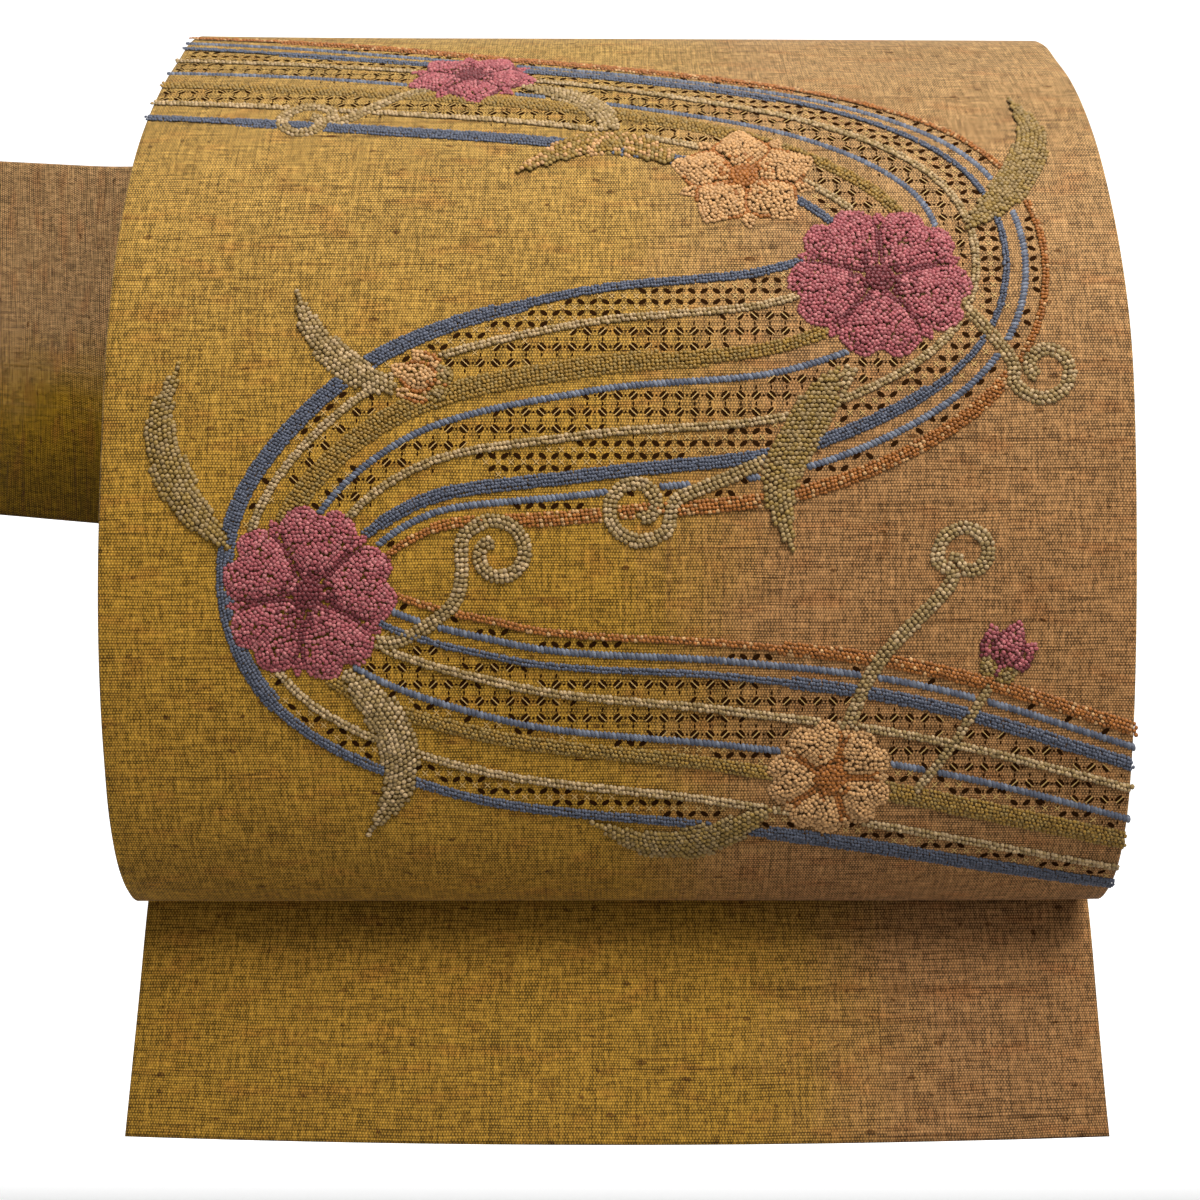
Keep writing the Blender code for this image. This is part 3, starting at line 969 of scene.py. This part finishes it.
# %% Lattices
Lattice = namedtuple("Lattice", "inner outer start end kind")
LATTICES = [
    Lattice(-21.5, -9.0, 0.0, 0.62, "slits"),
    Lattice(-31.0, -21.5, 0.30, 1.0, "lenses"),
    Lattice(-1.0, 10.5, 0.0, 1.0, "slits"),
    Lattice(10.5, 20.5, 0.0, 0.56, "lenses"),
    Lattice(10.5, 20.5, 0.62, 1.0, "slits"),
    Lattice(-9.0, -1.0, 0.60, 1.0, "lenses"),
    Lattice(26.0, 32.0, 0.1, 1.0, "row"),
]


def in_water(across, along):
    """(share down the water, offset from its base line without the swell) of a place."""
    nearest = np.argmin((WATER.across - across) ** 2 + (WATER.along - along) ** 2)
    aside = (across - WATER.across[nearest]) * math.sin(WATER.heading[nearest])
    aside -= (along - WATER.along[nearest]) * math.cos(WATER.heading[nearest])
    return water_share[nearest], aside / swell[nearest]


def lattice_at(across, along):
    """The kind of lattice that covers a place, or None."""
    share, offset = in_water(across, along)
    for lattice in LATTICES:
        if lattice.start <= share <= lattice.end and lattice.inner < offset < lattice.outer:
            return lattice.kind
    return None


print("lattices:", len(LATTICES))

# %% Openings and bars
CLEAR = 1.35  # mm from the middle of an opening or a bar to the nearest knot
EDGE_ROOM = 2.0  # mm of plain cloth left at both edges
LATTICE_END = 456.0  # mm along, past the water


def free(across, along):
    """Whether an opening or a bar has room at a place."""
    on_cloth = abs(across) < HALF - EDGE_ROOM
    return on_cloth and sewn.room(across, along, CLEAR) and not sewn.under(across, along)


def opening(across, along, turn, length, width):
    """Lays an opening of this size in mm, if there is room."""
    if free(across, along):
        sewn.add("opening", across, along, turn, (length, width, 1.0), 0.10)


def bar(across, along, turn, length, width):
    """Lays a bound thread of this size in mm, if there is room."""
    if free(across, along):
        sewn.add("bar", across, along, turn, (length, width, 0.24), 0.14)


def lattice_places(across_pitch, along_pitch, kinds):
    """The places at equal pitches that lie in these kinds of lattice: (across, along, lean). The
    lean is 1 and -1 by turns."""
    side = int(HALF / across_pitch)
    for i in range(-side, side + 1):
        for j in range(1, int(LATTICE_END / along_pitch) + 1):
            across, along = i * across_pitch, j * along_pitch
            if lattice_at(across, along) in kinds:
                yield across, along, 1 if (i + j) % 2 else -1


# %% Slits
SLIT_PITCH = (4.6, 5.1)
SLIT_ASIDE = 0.6  # mm from the bar to the middle of the slit on each side of it
for across, along, lean in lattice_places(*SLIT_PITCH, ("slits",)):
    turn = math.radians(45 * lean)
    aside = (-math.sin(turn) * SLIT_ASIDE, math.cos(turn) * SLIT_ASIDE)
    opening(across + aside[0], along + aside[1], turn, 2.8, 1.15)
    opening(across - aside[0], along - aside[1], turn, 2.8, 1.15)
    bar(across, along, turn, 2.9, 0.28)
    opening(across + SLIT_PITCH[0] / 2, along, 0.0, 0.8, 0.7)
    opening(across, along + SLIT_PITCH[1] / 2, math.radians(90), 1.4, 0.6)
print("openings:", len(sewn.items["opening"]), "bars:", len(sewn.items["bar"]))

# %% Lenses
LENS_PITCH = 3.75
for across, along, lean in lattice_places(LENS_PITCH, LENS_PITCH, ("lenses", "row")):
    opening(across, along, math.radians(35 * lean), 2.8, 1.5)
    if lattice_at(across, along) == "lenses":
        for degrees in (45, -45):
            corner = (across + LENS_PITCH / 2, along + LENS_PITCH / 2)
            bar(*corner, math.radians(degrees), 2.2, 0.26)
print("openings:", len(sewn.items["opening"]), "bars:", len(sewn.items["bar"]))

# %% [markdown]
# ## Threads
# Silk thread is shiny and a little uneven in colour. The tint of each knot comes from noise at the
# knot's own scale, so one mesh holds a whole colour without looking printed.

# %% Thread materials
THREADS = {
    "pink": rgb(153, 77, 80), "pale_pink": rgb(170, 98, 98), "wine": rgb(108, 44, 47),
    "peach": rgb(186, 141, 90), "cream": rgb(172, 144, 102), "rust": rgb(152, 92, 34),
    "gold": rgb(142, 108, 40), "olive": rgb(138, 110, 52), "khaki": rgb(144, 118, 72),
    "blue": rgb(80, 84, 97), "pale_blue": rgb(104, 108, 119),
}


def thread(name, colour):
    """Silk thread of one colour: lighter and darker from knot to knot, with painted shade at each knot's
    foot.
    """
    made, shader = new_material(name + "_thread", 0.5, 0.08)
    tree = made.node_tree
    coordinates = tree.nodes.new("ShaderNodeTexCoord")
    place = Value(tree, coordinates.outputs["Object"])
    tint = place.stretched(560, 560, 560).noise(1.0).step(0.32, 0.68)
    knot = Value(tree, tree.nodes.new("ShaderNodeUVMap").outputs[0])
    # Painted shade: each knot is darker towards its foot, in the crevices between knots.
    rise = knot.part(0).step(0.0, 0.6)
    tinted = rise.mix(shade(colour, 0.60), tint.mix(shade(colour, 0.84), shade(colour, 1.26)))
    tree.links.new(tinted.socket, shader.inputs["Base Color"])
    strands = place.stretched(2600, 2600, 2600).noise(0.0)
    bump = place.node("Bump", {"Height": strands, "Strength": 0.5, "Distance": 0.0002})
    tree.links.new(bump.socket, shader.inputs["Normal"])
    return made


print("threads:", sorted(THREADS))

# %% Small shapes
DOME = 0.46  # a knot's height, to one across
SUNK = 0.06  # how deep its rim lies in the cloth


def small_mesh(name, bm, smooth):
    """Ends a bmesh as a mesh that no object shows yet."""
    mesh = bpy.data.meshes.new(name)
    for face in bm.faces:
        face.smooth = smooth
    bm.to_mesh(mesh)
    bm.free()
    return mesh


def knot_mesh():
    """A rounded lump of two strands, 1 across. Its rim lies in the cloth."""
    bm = bmesh.new()
    bmesh.ops.create_grid(bm, x_segments=4, y_segments=4, size=1.0)
    for vertex in bm.verts:
        x, y = vertex.co.x, vertex.co.y
        groove = 0.30 if abs(y) < 0.1 else 0.0
        x, y = x * math.sqrt(1 - y * y / 2), y * math.sqrt(1 - x * x / 2)
        dome = math.sqrt(max(1 - x * x - y * y, 0.0))
        vertex.co = Vector((x * 0.5, y * 0.5, DOME * dome * (1 - groove) - SUNK))
    # The UV map holds the height up the knot, which the thread's painted shade at the foot reads.
    uv_map = bm.loops.layers.uv.new("knot")
    for face in bm.faces:
        for loop in face.loops:
            rise = (loop.vert.co.z + SUNK) / DOME
            loop[uv_map].uv = (rise, loop.vert.co.y)
    return small_mesh("knot", bm, True)


def opening_mesh():
    """A flat round patch, 1 across."""
    bm = bmesh.new()
    bmesh.ops.create_circle(bm, segments=8, radius=0.5, cap_ends=True)
    return small_mesh("opening", bm, False)


def bar_mesh():
    """A cube 1 across, which becomes a bar by its size."""
    bm = bmesh.new()
    bmesh.ops.create_cube(bm, size=1.0)
    return small_mesh("bar", bm, False)


# %% Sewing a mesh


def sewn_piece(name, shape, items, material):
    """All items of one kind as one mesh, each turned to the cloth where it lies."""
    table = np.array(items)
    points, outs, downs = strip.at(table[:, 0], table[:, 1], table[:, 6])
    rights = np.cross(outs, downs)
    turns = table[:, 2, None]
    aheads = np.cos(turns) * rights + np.sin(turns) * downs
    asides = np.cross(outs, aheads)
    bm = bmesh.new()
    for point, ahead, aside, out, size in zip(points, aheads, asides, outs, table[:, 3:6]):
        axes = Matrix((ahead * size[0], aside * size[1], out * size[2])).transposed().to_4x4()
        place = Matrix.Translation(point * MM) @ (axes * MM).to_3x3().to_4x4()
        shape.transform(place)
        bm.from_mesh(shape)
        shape.transform(place.inverted())
    return finished(name, bm, material)


# %% Knots of every thread
knot_shape = knot_mesh()
needlework = []
for kind, colour in THREADS.items():
    needlework.append(sewn_piece("knots_" + kind, knot_shape, sewn.items[kind], thread(kind, colour)))
print("pieces of knots:", len(needlework))

# %% Drawn-thread pieces
# The openings are painted shadow: flat dark patches where the holes would be.
gloom, gloom_shader = new_material("opening_shadow", 0.9, 0.0, specular=0.0)
gloom_shader.inputs["Base Color"].default_value = rgb(40, 22, 8)
needlework.append(sewn_piece("drawn_thread_openings", opening_mesh(), sewn.items["opening"], gloom))
bound, bound_shader = new_material("bound_thread", 0.6, 0.1)
bound_shader.inputs["Base Color"].default_value = rgb(186, 150, 86)
needlework.append(sewn_piece("drawn_thread_bars", bar_mesh(), sewn.items["bar"], bound))
triangles = [len(piece.data.loops) - 2 * len(piece.data.polygons) for piece in needlework]
print("triangles sewn:", sum(triangles))

# %% [markdown]
# ## Floor, light and camera
# A pale seamless sheet of paper keeps the eye on the cloth: it is the floor, bends up behind and goes
# on as the wall. The wall glows, as if lamps of its own lit it, and so it stays white. The main light
# is a wide soft panel above and in front, so that the ridge is bright and the bottom roll falls into
# shade, and a weak one fills the side away from it.

# %% Paper
PAPER_GREY = 0.58
GLOW_START, GLOW_FULL = 1.4, 1.95  # metres behind the part's middle
paper, paper_shader = new_material("paper", 0.9, 0.0)
paper_tree = paper.node_tree
paper_place = Value(paper_tree, paper_tree.nodes.new("ShaderNodeTexCoord").outputs["Object"])
paper_shader.inputs["Base Color"].default_value = (PAPER_GREY, PAPER_GREY, PAPER_GREY, 1.0)
glow = paper_place.part(1).step(GLOW_START, GLOW_FULL).mix(rgb(0, 0, 0), rgb(255, 255, 255))
paper_tree.links.new(glow.socket, paper_shader.inputs["Emission Color"])
paper_shader.inputs["Emission Strength"].default_value = 1.05

# %% Floor
FLOOR_Z = -1.0  # a waist is about a metre above the floor
FLOOR_START = -3.0  # metres, in front of the part
FLOOR_RUN = 5.0  # metres of flat floor
PAPER_RUN = 11.0  # metres of floor, bend and wall in all
PAPER_WIDTH = 12.0
bm = bmesh.new()
bmesh.ops.create_grid(bm, x_segments=2, y_segments=60, size=0.5)
for vertex in bm.verts:
    run = (vertex.co.y + 0.5) * PAPER_RUN
    angle = min(max(run - FLOOR_RUN, 0.0), math.pi / 2)  # the bend's radius is one metre
    y = FLOOR_START + min(run, FLOOR_RUN) + math.sin(angle)
    z = FLOOR_Z + 1.0 - math.cos(angle) + max(run - FLOOR_RUN - math.pi / 2, 0.0)
    vertex.co = Vector((vertex.co.x * PAPER_WIDTH, y, z))
floor = finished("floor", bm, paper)
for face in floor.data.polygons:
    face.use_smooth = True
print("floor at", FLOOR_Z, "m")

# %% Lights
world = bpy.data.worlds.new("studio")
bpy.context.scene.world = world
world.use_nodes = True
studio_light = world.node_tree.nodes["Background"]
studio_light.inputs["Color"].default_value = (1.0, 1.0, 1.0, 1.0)
studio_light.inputs["Strength"].default_value = 0.045


def area_light(name, place, aim, size, power):
    """A square soft light at a place, aimed at a point."""
    light = bpy.data.lights.new(name, "AREA")
    light.size = size
    light.energy = power
    made = bpy.data.objects.new(name, light)
    made.location = place
    made.rotation_euler = (Vector(aim) - Vector(place)).to_track_quat("-Z", "Y").to_euler()
    bpy.context.scene.collection.objects.link(made)


area_light("key", (0.5, -1.2, 1.55), (0.0, -0.2, -0.05), 1.4, 69.0)
area_light("fill", (0.3, -1.7, 0.2), (0.0, -0.2, -0.1), 1.0, 3.5)
print("lights, W:", {light.name: light.energy for light in bpy.data.lights})

# %% Camera
camera_data = bpy.data.cameras.new("camera")
camera_data.lens = 48.0
camera_data.sensor_width = 36.0
camera_data.shift_x = -0.015
camera = bpy.data.objects.new("camera", camera_data)
camera.location = (0.0, -0.7938, -0.0917)
camera.rotation_euler = (math.radians(90.0), 0.0, 0.0)
bpy.context.scene.collection.objects.link(camera)
bpy.context.scene.camera = camera
bpy.context.scene.view_settings.view_transform = "Standard"
print("camera, mm:", camera_data.lens)

# %% [markdown]
# ## Handing over
# Each piece rides on the body, takes the place of its wall in the frame, and says what cloth it is.

# %% Declarations
for name, piece in stretches.items():
    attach(piece, "root")
    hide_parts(name)
for piece in needlework:
    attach(piece, "root")
for name, piece in stretches.items():
    if name in bands:
        flat = (2 * BAND_HALF * MM, bands[name].length[-1] * MM)
    else:
        start, end = strip.spans[name]
        flat = (2 * HALF * MM, (end - start) * MM)
    on_it = needlework if name == "drum_panel" else []
